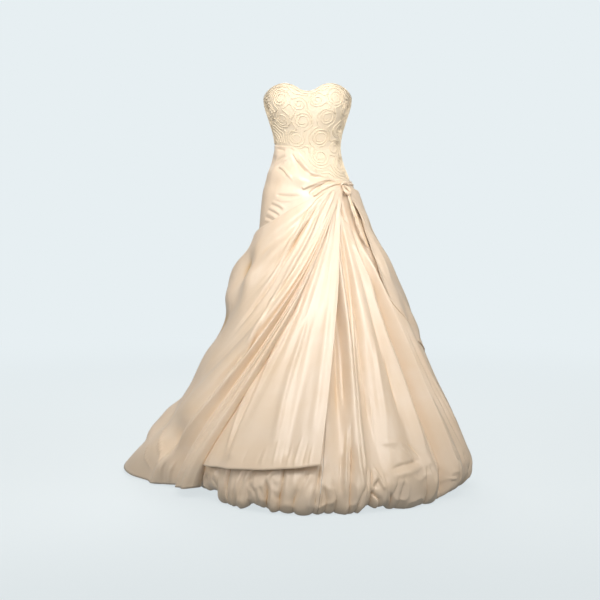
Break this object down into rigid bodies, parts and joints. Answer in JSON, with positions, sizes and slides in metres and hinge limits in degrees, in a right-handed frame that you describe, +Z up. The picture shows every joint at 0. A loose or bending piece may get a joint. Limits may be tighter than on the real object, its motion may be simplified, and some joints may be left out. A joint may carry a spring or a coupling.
{
  "type": "party dress",
  "caption": "Strapless floor-length satin gown with a sweetheart bodice in ribbon applique, an overskirt gathered into a hip knot, a swept train and a bubble hem.",
  "frame": {"origin": "middle of the waist, on the wearer's axis, where the gown is held", "axes": "+Z up the wearer's axis to the neckline, -Y out of the front, +X towards the hip with the knot"},
  "size_m": [1.1952, 1.1852, 1.3369],
  "materials": {
    "ivory_satin": "satin weave with a soft sheen",
    "cream_bodice_cloth": "matt lace over boned lining",
    "cream_ribbon": "woven ribbon",
    "covered_button_satin": "satin over a domed blank"
  },
  "bodies": {
    "root": {"back_button_1": "covered_button_satin", "back_button_2": "covered_button_satin", "back_button_3": "covered_button_satin", "back_button_4": "covered_button_satin", "back_button_5": "covered_button_satin", "back_button_6": "covered_button_satin", "back_button_7": "covered_button_satin", "back_button_8": "covered_button_satin", "back_button_9": "covered_button_satin", "back_drape": "ivory_satin", "bodice_back_left": "cream_bodice_cloth", "bodice_back_right": "cream_bodice_cloth", "bodice_front": "cream_bodice_cloth", "front_flap": "ivory_satin", "hip_yoke_back_left": "ivory_satin", "hip_yoke_back_right": "ivory_satin", "hip_yoke_front": "ivory_satin", "knot_band": "ivory_satin", "knot_ring": "ivory_satin", "knot_tail": "ivory_satin", "rosette_01": "cream_ribbon", "rosette_02": "cream_ribbon", "rosette_03": "cream_ribbon", "rosette_04": "cream_ribbon", "rosette_05": "cream_ribbon", "rosette_06": "cream_ribbon", "rosette_07": "cream_ribbon", "rosette_08": "cream_ribbon", "rosette_09": "cream_ribbon", "rosette_10": "cream_ribbon", "rosette_11": "cream_ribbon", "rosette_12": "cream_ribbon", "rosette_13": "cream_ribbon", "rosette_14": "cream_ribbon", "rosette_15": "cream_ribbon", "rosette_16": "cream_ribbon", "rosette_17": "cream_ribbon", "skirt_back_left": "ivory_satin", "skirt_back_right": "ivory_satin", "skirt_front_left": "ivory_satin", "skirt_front_right": "ivory_satin", "train_drape": "ivory_satin"}
  },
  "joints": []
}
